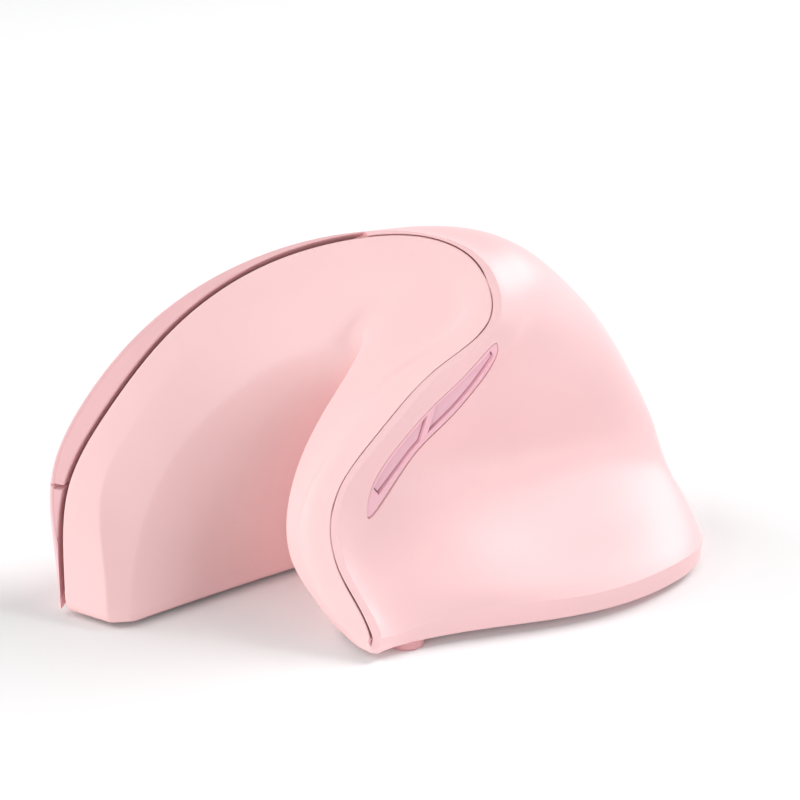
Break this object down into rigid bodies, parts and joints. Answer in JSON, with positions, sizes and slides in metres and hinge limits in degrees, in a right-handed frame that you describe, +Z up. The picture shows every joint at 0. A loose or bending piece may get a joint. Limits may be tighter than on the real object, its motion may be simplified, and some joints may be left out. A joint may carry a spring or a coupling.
{
  "type": "vertical computer mouse",
  "caption": "Right-handed vertical mouse with an arched shell over an open front hollow, click plates on the finger side, thumb buttons and a thumb rest.",
  "frame": {"origin": "on the desk, below the middle of the mouse", "axes": "+X towards the thumb side, +Y towards the heel of the hand, +Z up; the open front face looks to -Y and the finger side to -X"},
  "size_m": [0.0883, 0.1242, 0.0727],
  "materials": {
    "face_plastic": "satin",
    "shell_plastic": "satin",
    "click_plastic": "satin",
    "recess_plastic": "satin",
    "thumb_button_plastic": "semi-gloss",
    "circuit_board": "satin",
    "switch_black": "satin",
    "frame_plastic": "matt",
    "screw_steel": "satin",
    "wheel_plastic": "satin",
    "wheel_rubber": "matt",
    "base_plastic": "matt",
    "cell_jacket": "gloss",
    "contact_steel": "polished",
    "lens_clear": "clear",
    "knob_plastic": "satin",
    "foot_plastic": "smooth"
  },
  "bodies": {
    "shell": {"front_fascia": "face_plastic", "body_shell": "shell_plastic", "thumb_bezel": "recess_plastic", "thumb_pcb": "circuit_board", "forward_switch": "switch_black", "back_switch": "switch_black", "click_frame": "frame_plastic", "click_pcb": "circuit_board", "click_frame_screws": "screw_steel", "left_click_switch": "switch_black", "right_click_switch": "switch_black", "wheel_press_switch": "switch_black", "dpi_switch": "switch_black", "base_plate": "base_plastic", "battery": "cell_jacket", "battery_contact_positive": "contact_steel", "battery_contact_spring": "contact_steel", "main_pcb": "circuit_board", "optical_sensor": "switch_black", "sensor_lens": "lens_clear", "controller_chip": "switch_black", "power_switch_body": "switch_black", "glide_feet": "foot_plastic", "base_screws": "screw_steel", "main_pcb_screws": "screw_steel"},
    "left_click": {"left_click_button": "click_plastic"},
    "right_click": {"right_click_button": "click_plastic"},
    "wheel_fork": {"wheel_carrier": "frame_plastic", "wheel_encoder": "switch_black"},
    "wheel": {"scroll_wheel": "wheel_plastic", "scroll_tyre": "wheel_rubber"},
    "forward_key": {"forward_button": "thumb_button_plastic"},
    "back_key": {"back_button": "thumb_button_plastic"},
    "speed_key": {"dpi_button": "thumb_button_plastic"},
    "power_knob": {"power_switch_knob": "knob_plastic"},
    "battery_cover": {"battery_door": "base_plastic"}
  },
  "joints": [
    {"name": "left_click_press", "type": "hinge", "parent": "shell", "child": "left_click", "pos_m": [-0.03002, 0.00233, 0.03116], "axis": [0.1185, -0.1677, 0.9787], "range_deg": [0, 0.75], "stiffness_Nm_per_rad": 0.5, "springref_deg": -1.15},
    {"name": "right_click_press", "type": "hinge", "parent": "shell", "child": "right_click", "pos_m": [-0.03002, 0.00233, 0.03116], "axis": [0.1185, -0.1677, 0.9787], "range_deg": [0, 0.75], "stiffness_Nm_per_rad": 0.5, "springref_deg": -1.15},
    {"name": "wheel_press", "type": "hinge", "parent": "shell", "child": "wheel_fork", "pos_m": [-0.02873, -0.01258, 0.02845], "axis": [0.1185, -0.1677, 0.9787], "range_deg": [0, 0.9], "stiffness_Nm_per_rad": 0.8, "springref_deg": -1.15},
    {"name": "wheel_scroll", "type": "hinge", "parent": "wheel_fork", "child": "wheel", "pos_m": [-0.03467, -0.02299, 0.02739], "axis": [0.1185, -0.1677, 0.9787], "continuous": true},
    {"name": "forward_press", "type": "slide", "parent": "shell", "child": "forward_key", "axis": [-0.9835, 0.1172, 0.1377], "range_m": [0, 0.0005], "stiffness_N_per_m": 900, "springref_m": -0.0003},
    {"name": "back_press", "type": "slide", "parent": "shell", "child": "back_key", "axis": [-0.9835, 0.1172, 0.1377], "range_m": [0, 0.0005], "stiffness_N_per_m": 900, "springref_m": -0.0003},
    {"name": "speed_press", "type": "slide", "parent": "shell", "child": "speed_key", "axis": [0.9823, -0.124, -0.1402], "range_m": [0, 0.0004], "stiffness_N_per_m": 900, "springref_m": -0.0003},
    {"name": "power_slide", "type": "slide", "parent": "shell", "child": "power_knob", "axis": [1, 0, 0], "range_m": [0, 0.002]},
    {"name": "battery_door_slide", "type": "slide", "parent": "shell", "child": "battery_cover", "axis": [-0.0872, -0.9962, 0], "range_m": [0, 0.008]}
  ]
}
